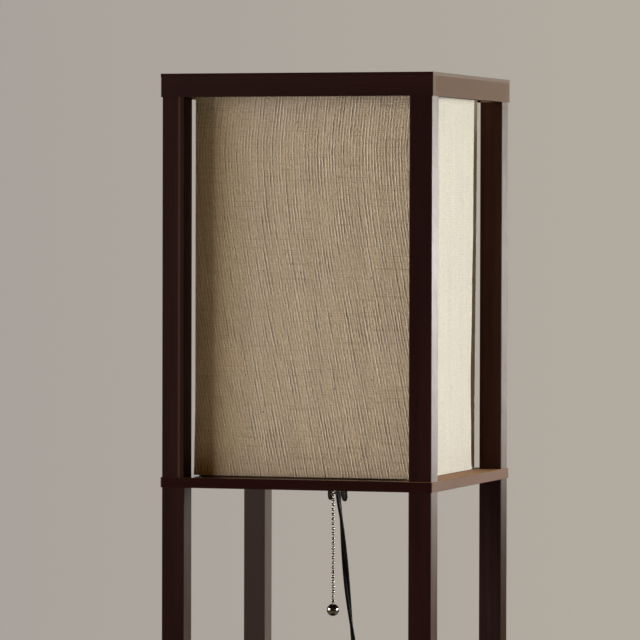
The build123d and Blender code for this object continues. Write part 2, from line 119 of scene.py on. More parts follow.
def joinInto(piece, *others):
    pickOnly(piece)
    for other in others:
        other.select_set(True)
    bpy.ops.object.join()


def dress(piece, *materials):
    piece.data.materials.clear()
    for material in materials:
        piece.data.materials.append(material)


def settle(piece, material, angle=35, merge=0.000005):
    # the place goes into the mesh, faces look out and the shading is smooth up to an angle
    pickOnly(piece)
    bpy.ops.object.transform_apply()
    editAll(piece)
    bpy.ops.mesh.remove_doubles(threshold=merge)
    bpy.ops.mesh.normals_make_consistent(inside=False)
    smooth(angle)
    dress(piece, material)


def meshPiece(name, verts, faces):
    mesh = bpy.data.meshes.new(name)
    mesh.from_pydata(verts, [], faces)
    mesh.update()
    piece = bpy.data.objects.new(name, mesh)
    scene.collection.objects.link(piece)
    return piece


# Camera

cameraSettings = {
    "place": (1.3033, -4.1447, 1.4667),
    "yaw": 17.679,
    "pitch": 1.239,
    "roll": 0.131,
    "lens": 261.3,
    "sensor": 36.0,
    "farClip": 60,
}


def makeCamera():
    s = cameraSettings
    yaw, pitch, roll = (math.radians(s[key]) for key in ("yaw", "pitch", "roll"))
    level = math.cos(pitch)
    ahead = Vector((-math.sin(yaw) * level, math.cos(yaw) * level, -math.sin(pitch)))
    right = Vector((math.cos(yaw), math.sin(yaw), 0))
    up = right.cross(ahead)
    across = right * math.cos(roll) + up * math.sin(roll)
    upward = up * math.cos(roll) - right * math.sin(roll)
    lensData = bpy.data.cameras.new("lampCamera")
    lensData.lens = s["lens"]
    lensData.sensor_width = s["sensor"]
    lensData.clip_end = s["farClip"]
    camera = bpy.data.objects.new("lampCamera", lensData)
    turned = Matrix((across, upward, -ahead)).transposed().to_4x4()
    camera.matrix_world = Matrix.Translation(s["place"]) @ turned
    scene.collection.objects.link(camera)
    scene.camera = camera


makeCamera()
print("camera set")


# Material helpers; a socket's id_data is the node tree it belongs to

def setSockets(node, values):
    # each value is a constant or another node's output
    for name, value in values.items():
        if isinstance(value, bpy.types.NodeSocket):
            node.id_data.links.new(value, node.inputs[name])
        else:
            node.inputs[name].default_value = value


def addNode(tree, kind, values, **settings):
    node = tree.nodes.new("ShaderNode" + kind)
    for key, value in settings.items():
        setattr(node, key, value)
    setSockets(node, values)
    return node


def newMaterial(name):
    material = bpy.data.materials.new(name)
    material.use_nodes = True
    tree = material.node_tree
    tree.nodes.clear()
    skin = addNode(tree, "BsdfPrincipled", {})
    addNode(tree, "OutputMaterial", {"Surface": skin.outputs["BSDF"]})
    return material, tree, skin


def coverWith(tree, shader):
    out = next(node for node in tree.nodes if node.type == "OUTPUT_MATERIAL")
    setSockets(out, {"Surface": shader})


def objectCoords(tree):
    return addNode(tree, "TexCoord", {}).outputs["Object"]


def uvCoords(tree, layer):
    return addNode(tree, "UVMap", {}, uv_map=layer).outputs["UV"]


def axesOf(vector):
    node = addNode(vector.id_data, "SeparateXYZ", {"Vector": vector})
    return [node.outputs[axis] for axis in "XYZ"]


def scaled(vector, scale, shift=(0, 0, 0)):
    values = {"Vector": vector, "Scale": scale, "Location": shift}
    return addNode(vector.id_data, "Mapping", values).outputs["Vector"]


def noise(vector, scale, detail=2, rough=0.5, shift=(0, 0, 0), bend=0.0):
    values = {"Scale": 1.0, "Detail": detail, "Roughness": rough, "Distortion": bend}
    values["Vector"] = scaled(vector, scale, shift)
    return addNode(vector.id_data, "TexNoise", values).outputs["Fac"]


def calc(operation, first, *others):
    # the operation is carried over all the values; one like SINE takes a single value
    tree = next(v.id_data for v in (first, *others) if isinstance(v, bpy.types.NodeSocket))
    for other in others or (0.0,):
        first = addNode(tree, "Math", {0: first, 1: other}, operation=operation).outputs[0]
    return first


def times(*values):
    return calc("MULTIPLY", *values)


def plus(*values):
    return calc("ADD", *values)


def minus(a, b):
    return calc("SUBTRACT", a, b)


def sloped(value, slope, start):
    return plus(times(value, slope), start)


def spread(value, low, high, toLow=0.0, toHigh=1.0):
    values = {"Value": value, "From Min": low, "From Max": high, "To Min": toLow, "To Max": toHigh}
    return addNode(value.id_data, "MapRange", values).outputs["Result"]


def mixColour(share, a, b, kind="MIX"):
    a, b = (v if isinstance(v, bpy.types.NodeSocket) else (*v, 1) for v in (a, b))
    values = {"Factor": share, "A": a, "B": b}
    node = addNode(share.id_data, "Mix", values, data_type="RGBA", blend_type=kind)
    return node.outputs["Result"]


def mixShader(share, a, b):
    return addNode(share.id_data, "MixShader", {"Fac": share, 1: a, 2: b}).outputs["Shader"]


def bump(skin, height, strength, distance):
    values = {"Height": height, "Strength": strength, "Distance": distance}
    setSockets(skin, {"Normal": addNode(skin.id_data, "Bump", values).outputs["Normal"]})


# Wood: a dark brown stain under satin lacquer, with the grain along one axis

wood = {
    "dark": (0.0140, 0.0040, 0.0040),
    "light": (0.0255, 0.0082, 0.0076),
    "pore": (0.0080, 0.0034, 0.0030),
    "seam": (0.12, 0.075, 0.06),
    # painted light: the end tone is the lighter tone painted on faces that look along X, towards the side
    # lamps
    "sideLightGrain": 0.7,  # how dark the end tone's streaks are
    "roughLow": 0.322,
    "roughHigh": 0.345,
    "ior": 1.5,
    # noises: scale across and along the grain, detail, roughness, shift and bend
    "figure": (60, 2.2, 3, 0.55, (0, 0, 0), 0.6),
    "grain": (900, 9, 3, 0.6),
    "pores": (1530, 15.3, 1),
    "figureShare": 0.65,
    "toneRange": (0.34, 0.66),
    "poreRange": (0.62, 0.72),
    "poreShare": 0.6,
    "facing": (0.6, 0.8),  # how squarely a face looks one way
    # where the painted light on the shade board's top is strongest, and how much of it lies elsewhere
    "rightStripX": (0.094, 0.108),
    "rightStripLeast": 0.10,
    "dullY": (-0.01, 0.03),
    "smear": ((14, 14, 9),),
    "smearRange": (0.3, 0.7),
    "orangePeel": ((420, 420, 420), 1),
    "bump": (0.12, 0.00025),
}


def woodMaterial(name, axis, rougher, gloss, lift=(1, 1, 1), sideLight=None, endRough=None,
                 topLight=None, topRough=None, seam=None):
    s = wood
    material, tree, skin = newMaterial(name)
    coords = addNode(tree, "TexCoord", {})
    place = coords.outputs["Object"]
    placeX, placeY, _ = axesOf(place)
    outX, _, outZ = axesOf(coords.outputs["Normal"])

    def grained(across, along, *settings):
        return noise(place, [along if letter == axis else across for letter in "XYZ"], *settings)

    figure, grain, pores = (grained(*s[key]) for key in ("figure", "grain", "pores"))
    pores = spread(pores, *s["poreRange"])
    share = plus(times(figure, s["figureShare"]), times(grain, 1 - s["figureShare"]))
    # a lift brightens and warms a copy's tone: painted light on the posts given such a copy
    dark, light = ([v * more for v, more in zip(s[key], lift)] for key in ("dark", "light"))
    tone = mixColour(spread(share, *s["toneRange"]), dark, light)
    tone = mixColour(times(pores, s["poreShare"]), tone, s["pore"])
    sideways = spread(calc("ABSOLUTE", outX), *s["facing"])
    upward = spread(outZ, *s["facing"])
    dull = sideways
    if topLight:
        # painted light and reflection: the top gets a pale warm tone, most of it towards its right edge; it
        # is dull there, at the back and underneath
        rightStrip = spread(placeX, *s["rightStripX"])
        much = sloped(rightStrip, 1 - s["rightStripLeast"], s["rightStripLeast"])
        tone = mixColour(times(upward, much), tone, topLight)
        dullTop = calc("MAXIMUM", rightStrip, spread(placeY, *s["dullY"]))
        under = spread(times(outZ, -1), *s["facing"])
        dull = calc("MAXIMUM", sideways, under, times(upward, dullTop))
    if sideLight:
        # painted light: the faces that look along X, towards the lamps at both sides, get a lighter tone,
        # streaked with the grain
        streak = [v * s["sideLightGrain"] for v in sideLight]
        tone = mixColour(sideways, tone, mixColour(share, streak, sideLight))
    # a thin pale line down the post's front face, between two places along X
    if seam:
        low, high, pale = seam
        inside = [calc("GREATER_THAN", placeX, low), calc("LESS_THAN", placeX, high)]
        tone = mixColour(times(*inside, pale), tone, s["seam"])
    least, most = s["roughLow"] + rougher, s["roughHigh"] + rougher
    rough = spread(noise(place, *s["smear"]), *s["smearRange"], least, most)
    for faces, wanted in ((dull, endRough), (upward, topRough)):
        if wanted:
            rough = plus(rough, times(faces, wanted - least))
    shine = {"Roughness": rough, "IOR": s["ior"], "Specular IOR Level": gloss}
    setSockets(skin, {"Base Color": tone, **shine})
    peel = noise(place, *s["orangePeel"])
    bump(skin, minus(times(plus(grain, peel), 0.5), pores), *s["bump"])
    return material


# Cloth: slubbed weave that leans a little, in metres round and down the strip

cloth = {
    "pale": (0.950, 0.876, 0.722),
    "deep": (0.480, 0.408, 0.298),
    "slubAndHighlight": (1.0, 0.965, 0.880),
    "furrow": (0.340, 0.262, 0.172),
    "dust": (0.62, 0.53, 0.50),
    "stitch": (0.42, 0.35, 0.25),
    "footShade": (0.50, 0.42, 0.31),
    "fleck": (0.100, 0.065, 0.040),
    "rightFaceDim": (0.905, 0.900, 0.890),
    "warm": (1.04, 0.97, 0.78),
    "ribPitch": 0.00285, "weftPitch": 0.0015,
    # the ribs' slope at the top, and each bend below it: where, how soft, how much more slope
    "leanTop": -0.118, "bends": [(0.063, 0.010, 0.160), (0.118, 0.042, 0.155)],
    "wanderBy": 0.0026, "crinkleBy": 0.0017, "driftBy": 5.0, "jitterBy": 12.0,
    # ranges: from, to, and what they become
    "boldRange": (0.47, 0.61, 0.18, 2.3), "beadRange": (0.34, 0.64, 0.40, 1.25),
    "dipRange": (0.40, 0.60, 0.30, 0.95), "pickRange": (0.35, 0.65, 0.1, 0.5),
    "crestRange": (-0.10, 1.0), "crestPower": 2.2,
    "furrowRange": (-0.05, -1.0), "furrowPower": 1.3,
    "crestHigh": 0.52, "furrowDeep": 0.18, "grainHigh": 1.50, "weftHigh": 0.20,
    "rightFaceFrom": 0.630, "figureRange": (0.44, 0.60, 0.70, 1.15),
    # depths: how much with the figure, and how much without it
    "tintDepth": (0.70, 0.52), "crestDepth": (1.45, 0.22), "barDepth": (0.40, 0.14),
    "tallness": (0.50, 0.50),
    "tintMiddle": 0.69, "tintRange": (0.32, 1.24), "furrowShare": 0.20,
    "dustRange": (0.3, 0.7, 0.0, 0.26), "barRange": (0.58, 0.68),
    "warmFold": 0.420, "warmReach": (0.055, 0.008),
    "stitchLine": 0.0193, "stitchHalf": 0.0005, "stitchShare": 0.22,
    "footShadeRange": (0.3555, 0.3625, 0.0, 0.34),
    "fleckCells": ((30, 24, 1), (0.3, 0.8, 0)), "fleckReach": 0.021,
    "fleckRare": 0.82, "fleckShare": 0.8,
    "skin": {"Roughness": 0.88, "IOR": 1.4, "Sheen Weight": 0.08, "Sheen Roughness": 0.5},
    "bump": (0.95, 0.0014),
    "throughShare": 0.16,
    "throughColour": (0.70, 0.56, 0.38, 1),
}
# its noises: scale round and down the strip, detail, roughness and shift
weave = {
    "wander": ((26, 7, 1),),
    "crinkle": ((260, 210, 1), 2, 0.6, (6, 3, 0)),
    "drift": ((60, 5, 1), 1, 0.5, (9, 9, 0)),
    "runs": ((330, 20, 1), 2, 0.55, (1, 4, 0)),
    "beads": ((520, 230, 1), 2, 0.6, (8, 7, 0)),
    "jitter": ((60, 60, 1), 2, 0.5, (4, 6, 0)),
    "picks": ((420, 160, 1), 1, 0.5, (7, 2, 0)),
    "grain": ((520, 330, 1), 3, 0.85, (3, 1, 0)),
    "bars": ((22, 800, 1), 1, 0.5, (2, 5, 0)),
    "patches": ((34, 20, 1), 2, 0.5, (5, 5, 0)),
}


def clothMaterial():
    s = cloth
    material, tree, skin = newMaterial("linenWeave")
    uv = uvCoords(tree, "strip")
    along, down, _ = axesOf(uv)
    # the ribs' line: it leans left at the top, and more and more right below each bend
    line = times(down, s["leanTop"])
    for at, soft, change in s["bends"]:
        past = minus(down, at)
        hinge = calc("SQRT", plus(times(past, past), soft**2))
        line = plus(line, times(plus(past, hinge), 0.5 * change))
    for key, much in (("wander", s["wanderBy"]), ("crinkle", s["crinkleBy"])):
        line = minus(line, times(noise(uv, *weave[key]), much))
    across = minus(along, line)
    warp = addNode(tree, "CombineXYZ", {"X": across, "Y": down}).outputs["Vector"]
    # ribs: a crest and a furrow every pitch, each stronger in some stretches than in others
    drift, runs, beads = (noise(warp, *weave[key]) for key in ("drift", "runs", "beads"))
    turns = times(across, 2 * math.pi / s["ribPitch"])
    wave = calc("SINE", plus(turns, times(drift, s["driftBy"])))
    crest = calc("POWER", spread(wave, *s["crestRange"]), s["crestPower"])
    bold = spread(runs, *s["boldRange"])
    crest = times(bold, spread(beads, *s["beadRange"]), crest)
    furrow = calc("POWER", spread(wave, *s["furrowRange"]), s["furrowPower"])
    furrow = times(furrow, spread(runs, *s["dipRange"]))
    # picks: the fine crosswise threads, and a grain over all
    jitter, thick, grain, bars, patches = (
        noise(uv, *weave[key]) for key in ("jitter", "picks", "grain", "bars", "patches")
    )
    picks = times(down, 2 * math.pi / s["weftPitch"])
    picks = calc("SINE", plus(picks, times(jitter, s["jitterBy"])))
    weft = times(picks, spread(thick, *s["pickRange"]))
    height = minus(times(crest, s["crestHigh"]), times(furrow, s["furrowDeep"]))
    height = plus(height, times(grain, s["grainHigh"]), times(weft, s["weftHigh"]))
    # the painted highlight and shade of the weave are strongest on the front and left faces; the right face
    # has less of them and lower relief
    notRightFace = calc("LESS_THAN", along, s["rightFaceFrom"])
    figure = times(spread(along, *s["figureRange"]), notRightFace)
    # the tone follows the weave's height: partly the yarn's own mottle, partly painted highlight and shade on
    # the relief
    tint = times(minus(height, s["tintMiddle"]), sloped(figure, *s["tintDepth"]))
    tint = plus(tint, s["tintMiddle"])
    tone = mixColour(spread(tint, *s["tintRange"]), s["deep"], s["pale"])
    # the crests take the pale colour of slubbed yarn, partly painted highlight; the furrows take a dark
    # colour, painted shade
    depth = sloped(figure, *s["crestDepth"])
    tone = mixColour(times(crest, depth), tone, s["slubAndHighlight"])
    tone = mixColour(times(depth, s["furrowShare"], furrow), tone, s["furrow"])
    tone = mixColour(spread(patches, *s["dustRange"]), tone, s["dust"])
    barred = times(spread(bars, *s["barRange"]), sloped(figure, *s["barDepth"]))
    tone = mixColour(barred, tone, s["deep"])
    # painted shade: the right face's tone is multiplied darker
    tone = mixColour(minus(1.0, notRightFace), tone, s["rightFaceDim"], "MULTIPLY")
    # painted shade: a warmer, yellower and darker tone near the front left fold, where the light is low
    fold = calc("ABSOLUTE", minus(along, s["warmFold"]))
    tone = mixColour(spread(fold, *s["warmReach"]), tone, s["warm"], "MULTIPLY")
    # a line of stitches under the top turned edge; painted shade: darker towards the foot, where the cloth
    # meets the board, on all but the right face
    stitch = calc("ABSOLUTE", minus(down, s["stitchLine"]))
    stitch = calc("LESS_THAN", stitch, s["stitchHalf"])
    tone = mixColour(times(stitch, s["stitchShare"]), tone, s["stitch"])
    tone = mixColour(times(spread(down, *s["footShadeRange"]), notRightFace), tone, s["footShade"])
    # flecks: small spots in a few cells
    cells = {"Scale": 1.0, "Vector": scaled(uv, *s["fleckCells"])}
    spots = addNode(tree, "TexVoronoi", cells, voronoi_dimensions="2D")
    pick = addNode(tree, "SeparateColor", {"Color": spots.outputs["Color"]})
    near = calc("LESS_THAN", spots.outputs["Distance"], s["fleckReach"])
    fleck = times(near, calc("GREATER_THAN", pick.outputs["Red"], s["fleckRare"]))
    tone = mixColour(times(fleck, s["fleckShare"]), tone, s["fleck"])
    setSockets(skin, {"Base Color": tone, **s["skin"]})
    bump(skin, times(height, sloped(notRightFace, *s["tallness"])), *s["bump"])
    # a little light comes through
    through = addNode(tree, "BsdfTranslucent", {"Color": s["throughColour"]})
    surfaces = {1: skin.outputs["BSDF"], 2: through.outputs["BSDF"]}
    both = addNode(tree, "MixShader", {"Fac": s["throughShare"], **surfaces})
    coverWith(tree, both.outputs["Shader"])
    return material


backing = {
    "dark": (0.58, 0.52, 0.39),
    "light": (0.76, 0.69, 0.53),
    "mottle": ((220, 220, 1), 3, 0.6),
    "roughRange": (0.3, 0.7, 0.5, 0.65),
    "bump": (0.15, 0.0003),
}


def backingMaterial():
    s = backing
    material, tree, skin = newMaterial("clothBacking")
    mottled = noise(uvCoords(tree, "strip"), *s["mottle"])
    tone, rough = mixColour(mottled, s["dark"], s["light"]), spread(mottled, *s["roughRange"])
    setSockets(skin, {"Base Color": tone, "Roughness": rough})
    bump(skin, mottled, *s["bump"])
    return material


# Metals and plastics: one builder, with a fine grain of marks in colour, gloss and relief

metal = {"Metallic": 1.0}
# base tone, worn tone, roughness from and to, marks a metre, their relief and the shader's sockets
hard = {
    "zincSteel": ((0.52, 0.53, 0.55), (0.38, 0.39, 0.40), (0.28, 0.42), (700, 700, 120), 0.12, metal),
    "chromed": ((0.32, 0.305, 0.28), (0.26, 0.245, 0.225), (0.05, 0.10), (500, 500, 500), 0.02, metal),
    "yellowBrass": ((0.72, 0.52, 0.24), (0.58, 0.38, 0.15), (0.20, 0.34), (600, 600, 150), 0.10, metal),
    "brightBrass": ((0.70, 0.62, 0.46), (0.60, 0.50, 0.34), (0.16, 0.28), (600, 600, 150), 0.08, metal),
    "wireSteel": ((0.60, 0.59, 0.57), (0.48, 0.47, 0.45), (0.30, 0.42), (200, 200, 900), 0.10, metal),
    "nickelBeads": ((0.42, 0.39, 0.35), (0.30, 0.27, 0.24), (0.10, 0.15), (500, 500, 500), 0.02, metal),
    "greyNylon": (
        (0.075, 0.072, 0.068), (0.050, 0.048, 0.045), (0.25, 0.35), (700, 700, 700), 0.15, {},
    ),
    "blackPlastic": (
        (0.010, 0.0092, 0.0085), (0.011, 0.010, 0.009), (0.22, 0.34), (900, 900, 900), 0.20,
        {"Specular IOR Level": 0.14},
    ),
    "socketBlack": (
        (0.018, 0.017, 0.016), (0.032, 0.030, 0.028), (0.30, 0.44), (700, 700, 700), 0.15, {},
    ),
    "glideGrey": ((0.17, 0.165, 0.155), (0.23, 0.22, 0.21), (0.45, 0.6), (800, 800, 800), 0.25, {}),
    "leadSheath": (
        (0.020, 0.020, 0.020), (0.034, 0.033, 0.032), (0.3, 0.4), (900, 900, 200), 0.1, {},
    ),
    "opalGlass": (
        (0.83, 0.82, 0.79), (0.88, 0.87, 0.85), (0.10, 0.18), (120, 120, 120), 0.01,
        {"Coat Weight": 0.4},
    ),
    "bareWood": ((0.50, 0.36, 0.21), (0.62, 0.47, 0.30), (0.6, 0.75), (900, 900, 60), 0.3, {}),
}
wear = {"scale": (38, 38, 38), "toneRange": (0.35, 0.65), "roughRange": (0.3, 0.7), "deep": 0.0001}


def hardMaterial(name, base, worn, rough, marks, relief, sockets):
    material, tree, skin = newMaterial(name)
    place = objectCoords(tree)
    fine = noise(place, marks, 3, 0.6)
    broad = noise(place, wear["scale"])
    share = spread(times(plus(fine, broad), 0.5), *wear["toneRange"])
    rough = spread(broad, *wear["roughRange"], *rough)
    setSockets(skin, {"Base Color": mixColour(share, base, worn), "Roughness": rough, **sockets})
    bump(skin, fine, relief, wear["deep"])
    return material


finishes = {name: hardMaterial(name, *row) for name, row in hard.items()}

sheath = {
    "dark": (0.0020, 0.0020, 0.0020),
    "light": (0.0042, 0.0040, 0.0036),
    "fine": ((2600, 900, 1), 2, 0.6),
    "smear": ((45, 300, 1),),
    "roughRange": (0.3, 0.7, 0.36, 0.50),
    "gloss": 0.12,
    "bump": (0.12, 0.0001),
}


def cordMaterial():
    s = sheath
    material, tree, skin = newMaterial("cordSheath")
    uv = uvCoords(tree, "run")
    fine, smear = (noise(uv, *s[key]) for key in ("fine", "smear"))
    tone, rough = mixColour(fine, s["dark"], s["light"]), spread(smear, *s["roughRange"])
    setSockets(skin, {"Base Color": tone, "Roughness": rough, "Specular IOR Level": s["gloss"]})
    bump(skin, fine, *s["bump"])
    return material


print("materials made")


# The lead: the route and coil of the solids, in millimetres

lead = {
    "route": [
        (0.0, 0.0, 1218.0), (0.4, 0.6, 1205.5), (1.6, 7.2, 1186.0), (1.0, 18.0, 1152.0),
        (0.2, 35.0, 1103.0), (0.6, 63.0, 1034.0), (0.2, 98.0, 955.0), (0.4, 128.5, 888.0),
        (0.6, 144.5, 838.0), (-0.8, 141.6, 768.0), (0.4, 139.0, 690.0), (-2.2, 140.6, 610.0),
        (-2.6, 138.6, 530.0), (-5.6, 140.8, 448.0), (-6.4, 138.8, 366.0), (-9.2, 140.4, 286.0),
        (-10.4, 139.2, 206.0), (-14.0, 140.6, 134.0), (-15.6, 140.0, 84.0), (-14.6, 141.2, 40.0),
        (-2.6, 142.8, 13.0), (22.0, 143.8, 3.0), (49.0, 143.8, 3.0),
    ],
    "straightEnd": 6,  # millimetres beyond the coil
    # from here on metres
    "exit": (0.0, 0.0, 1.2097),
    "inside": 0.0083,  # above the exit
    "wide": 0.006,
    "thick": 0.003,
    "web": 0.52,  # the web's thickness, as a share of the cores'
    "coreArc": 122,
    "coreSteps": 10,
    "sheathRound": 0.016,
    "length": 2.427,
    "twistFrom": 0.013,  # edge-on to the camera here, measured from the exit
    "twistRate": -28.8,  # radians a metre
    "twistEnd": 1.10,
    "levelFrom": 0.35,  # from here its twist is led towards lying flat
    "levelBefore": 0.02,
    "landed": 0.0031,
    "stepsATurn": 14,
    "stepsASpan": 7,
}
coil = {
    "centre": (55.0, 186.7), "out": 42.9, "pitch": 6.7, "low": 3.0, "turnsIn": 2.35, "turnsClimb": 0.5,
    "turns": 5.194, "widenFrom": 4.85, "widen": 16.0, "dropFrom": 5.05, "drop": 2.6, "start": -90.0,
    "wayStep": 0.0005,
}


def coilRadius(turn):
    s = coil
    inner = s["out"] - s["pitch"] * s["turnsIn"]
    climbed = (turn - s["turnsIn"]) / s["turnsClimb"]
    if climbed <= 0:
        return s["out"] - s["pitch"] * turn
    if climbed <= 1:
        return inner + s["pitch"] * s["turnsClimb"] * (climbed**2 - climbed)
    widened = (turn - s["widenFrom"]) / (s["turns"] - s["widenFrom"])
    return inner + s["pitch"] * (turn - s["turnsIn"] - s["turnsClimb"]) + s["widen"] * ease(widened)


def coilPoint(turn):
    s = coil
    angle = math.radians(s["start"] + 360 * turn)
    radius = coilRadius(turn)
    height = s["low"] + s["pitch"] * ease((turn - s["turnsIn"]) / s["turnsClimb"])
    height -= s["drop"] * ease((turn - s["dropFrom"]) / (s["turns"] - s["dropFrom"]))
    x, y = s["centre"]
    return Vector((x + radius * math.cos(angle), y + radius * math.sin(angle), height))


def coilEndWay():
    way = coilPoint(coil["turns"]) - coilPoint(coil["turns"] - coil["wayStep"])
    return Vector((way.x, way.y, 0)).normalized()


def leadPoints():
    # the route, then the coil's turns, as control points of one smooth spline
    points = [Vector(p) for p in lead["route"]]
    count = math.ceil(coil["turns"] * lead["stepsATurn"])
    points += [coilPoint(coil["turns"] * step / count) for step in range(1, count + 1)]
    points.append(points[-1] + coilEndWay() * lead["straightEnd"])
    return [p / 1000 for p in points]


def splineRings(points):
    curve = bpy.data.curves.new("leadLine", "CURVE")
    curve.dimensions = "3D"
    curve.resolution_u = lead["stepsASpan"]
    spline = curve.splines.new("NURBS")
    spline.points.add(len(points) - 1)
    for point, place in zip(spline.points, points):
        point.co = (*place, 1)
    spline.order_u = 3
    spline.use_endpoint_u = True
    line = bpy.data.objects.new("leadLine", curve)
    scene.collection.objects.link(line)
    bpy.context.view_layer.update()
    mesh = bpy.data.meshes.new_from_object(line)
    rings = [v.co.copy() for v in mesh.vertices]
    bpy.data.meshes.remove(mesh)
    bpy.data.objects.remove(line)
    bpy.data.curves.remove(curve)
    return rings


def carriedFrames(rings, first):
    # a sideways direction carried along the line without turning about it
    last = len(rings) - 1
    ways = [(rings[min(i + 1, last)] - rings[max(i - 1, 0)]).normalized() for i in range(len(rings))]
    side = (first - ways[0] * first.dot(ways[0])).normalized()
    frames = []
    for i, way in enumerate(ways):
        if i:
            side = ways[i - 1].rotation_difference(way) @ side
            side = (side - way * side.dot(way)).normalized()
        frames.append((way, side, way.cross(side)))
    return frames


def twinOutline():
    # two round cores side by side with a web between them
    s = lead
    half = s["thick"] / 2
    reach = s["wide"] / 2 - half
    outline = []
    for sign in (1, -1):
        for step in range(s["coreSteps"] + 1):
            angle = math.radians(s["coreArc"] * (2 * step / s["coreSteps"] - 1))
            outline.append((sign * (reach + half * math.cos(angle)), sign * half * math.sin(angle)))
        outline.append((0.0, sign * half * s["web"]))
    return outline


def makeLead():
    s = lead
    rings = splineRings(leadPoints())
    frames = carriedFrames(rings, Vector((1, 0, 0)))
    runs = [0.0]
    for a, b in zip(rings, rings[1:]):
        runs.append(runs[-1] + (b - a).length)
    # the lead lies flat where it lands: its free twist is led to the nearest half turn there
    landing = next(i for i, ring in enumerate(rings) if ring.z < s["landed"])
    _, side, third = frames[landing]
    upright = math.atan2(third.z, side.z)
    started = math.radians(90) - s["twistRate"] * s["twistFrom"]
    free = started + s["twistRate"] * s["twistEnd"]
    wanted = upright + round((free - upright) / math.pi) * math.pi
    levelLong = runs[landing] - s["levelBefore"] - s["levelFrom"]
    outline = twinOutline()
    count = len(outline)
    verts = []
    for ring, run, (way, side, third) in zip(rings, runs, frames):
        angle = started + s["twistRate"] * min(run - s["inside"], s["twistEnd"])
        angle += (wanted - free) * ease((run - s["levelFrom"]) / levelLong)
        across = side * math.cos(angle) + third * math.sin(angle)
        thin = way.cross(across)
        verts += [ring + across * x + thin * y for x, y in outline]
    faces, uvs = [], []
    for i in range(len(rings) - 1):
        for j in range(count):
            k = (j + 1) % count
            faces.append((i * count + j, i * count + k, (i + 1) * count + k, (i + 1) * count + j))
            a, b = j / count * s["sheathRound"], (j + 1) / count * s["sheathRound"]
            uvs.append([(runs[i], a), (runs[i], b), (runs[i + 1], b), (runs[i + 1], a)])
    last = (len(rings) - 1) * count
    faces += [tuple(reversed(range(count))), tuple(range(last, last + count))]
    uvs += [[(0.0, 0.0)] * count, [(runs[-1], 0.0)] * count]
    piece = meshPiece("twin_lead", verts, faces)
    layer = piece.data.uv_layers.new(name="run")
    for polygon, corners in zip(piece.data.polygons, uvs):
        for loop, corner in zip(polygon.loop_indices, corners):
            layer.data[loop].uv = corner
    dress(piece, cordMaterial())
    editAll(piece)
    bpy.ops.mesh.normals_make_consistent(inside=False)
    smooth(50)
    print("lead", round(runs[-1], 4), "m on", len(rings), "rings")
    return piece, rings


lampCord, leadRings = makeLead()

# The plug at the coil's end: a moulded body with a ribbed relief and finger grips

plug = {
    "reliefLong": 0.014, "reliefThin": 0.008, "reliefThick": 0.012, "reliefSides": 28,
    "ribs": 4, "ribFirst": 0.0022, "ribPitch": 0.0029, "ribWide": 0.0013, "ribHigh": 0.0007,
    "gripLong": 0.027, "gripWide": 0.022, "gripHigh": 0.0142, "gripRound": 0.0016,
    "grooves": 5, "grooveFirst": 0.005, "groovePitch": 0.003, "grooveWide": 0.0012,
    "grooveDeep": 0.0008,
    "ends": [(-1, 0.0012, 0.001), (1, 0.0016, 0.0006)],  # which end, its rim, its middle's way back
    "sunkIn": 0.002,  # the relief's end inside the body
}


def bands(piece, test, first, pitch, count, wide, height):
    # bands across X, raised or sunk where the face's direction passes the test
    middles = []
    for step in range(count):
        start = first + step * pitch
        cutAcross(piece, (start, start + wide), (1, 0, 0))
        middles.append(start + wide / 2)
    near = wide / 4
    raiseFaces(piece, lambda c, n: test(n) and min(abs(c.x - m) for m in middles) < near, height)


def makePlug():
    # modelled along +X from the coil's end, then turned into place
    s = plug
    clearSelection()
    long, thin = s["gripLong"], s["reliefLong"]
    bpy.ops.mesh.primitive_cube_add(size=1, location=(thin + long / 2, 0, 0))
    body = nameNew("plug_moulding")
    body.scale = (long, s["gripWide"], s["gripHigh"])
    bpy.ops.object.transform_apply()
    for way, rim, back in s["ends"]:
        editFaces(body, lambda c, n: n.x * way > 0.9)
        bpy.ops.mesh.inset(thickness=rim)
        bpy.ops.mesh.extrude_region_move(TRANSFORM_OT_translate={"value": (-back, 0, 0)})
    # finger grips: five grooves across each narrow side
    bands(
        body, lambda n: abs(n.y) > 0.9,
        thin + s["grooveFirst"], s["groovePitch"], s["grooves"], s["grooveWide"], -s["grooveDeep"],
    )
    bevel(body, s["gripRound"], 3, 60)
    # the relief: a tapered tube with raised ribs
    clearSelection()
    bpy.ops.mesh.primitive_cone_add(
        vertices=s["reliefSides"], radius1=s["reliefThin"] / 2, radius2=s["reliefThick"] / 2,
        depth=thin + s["sunkIn"], location=((thin - s["sunkIn"]) / 2, 0, 0),
        rotation=(0, math.radians(90), 0),
    )
    relief = nameNew("relief")
    bpy.ops.object.transform_apply()
    bands(
        relief, lambda n: abs(n.x) < 0.7,
        s["ribFirst"], s["ribPitch"], s["ribs"], s["ribWide"], s["ribHigh"],
    )
    bevel(relief, 0.0002, 2, 50)
    joinInto(body, relief)
    way = coilEndWay()
    turned = Matrix.Rotation(math.atan2(way.y, way.x), 4, "Z")
    body.matrix_world = Matrix.Translation(leadRings[-1]) @ turned
    settle(body, finishes["blackPlastic"])
    return body


# The tie: a flat wire strap round the coil's turns, with its ends twisted together

tie = {
    "angle": 118.0,
    "wide": 0.004,
    "thick": 0.0007,
    # its outline round the turns, in millimetres
    "scan": 0.02,
    "inside": 3.6, "outside": 3.4, "foot": 0.2, "top": 13.2,
    "innerKnee": (5, 8.0), "outerKnee": (6, 7.0),
    "corner": 1.8, "cornerSteps": 4,
    # its tail
    "tail": 0.018, "tailSection": (0.0030, 0.0011), "tailCuts": 18,
    "tailTwist": 560, "tailLean": 0.010, "tailLow": 0.55,
}


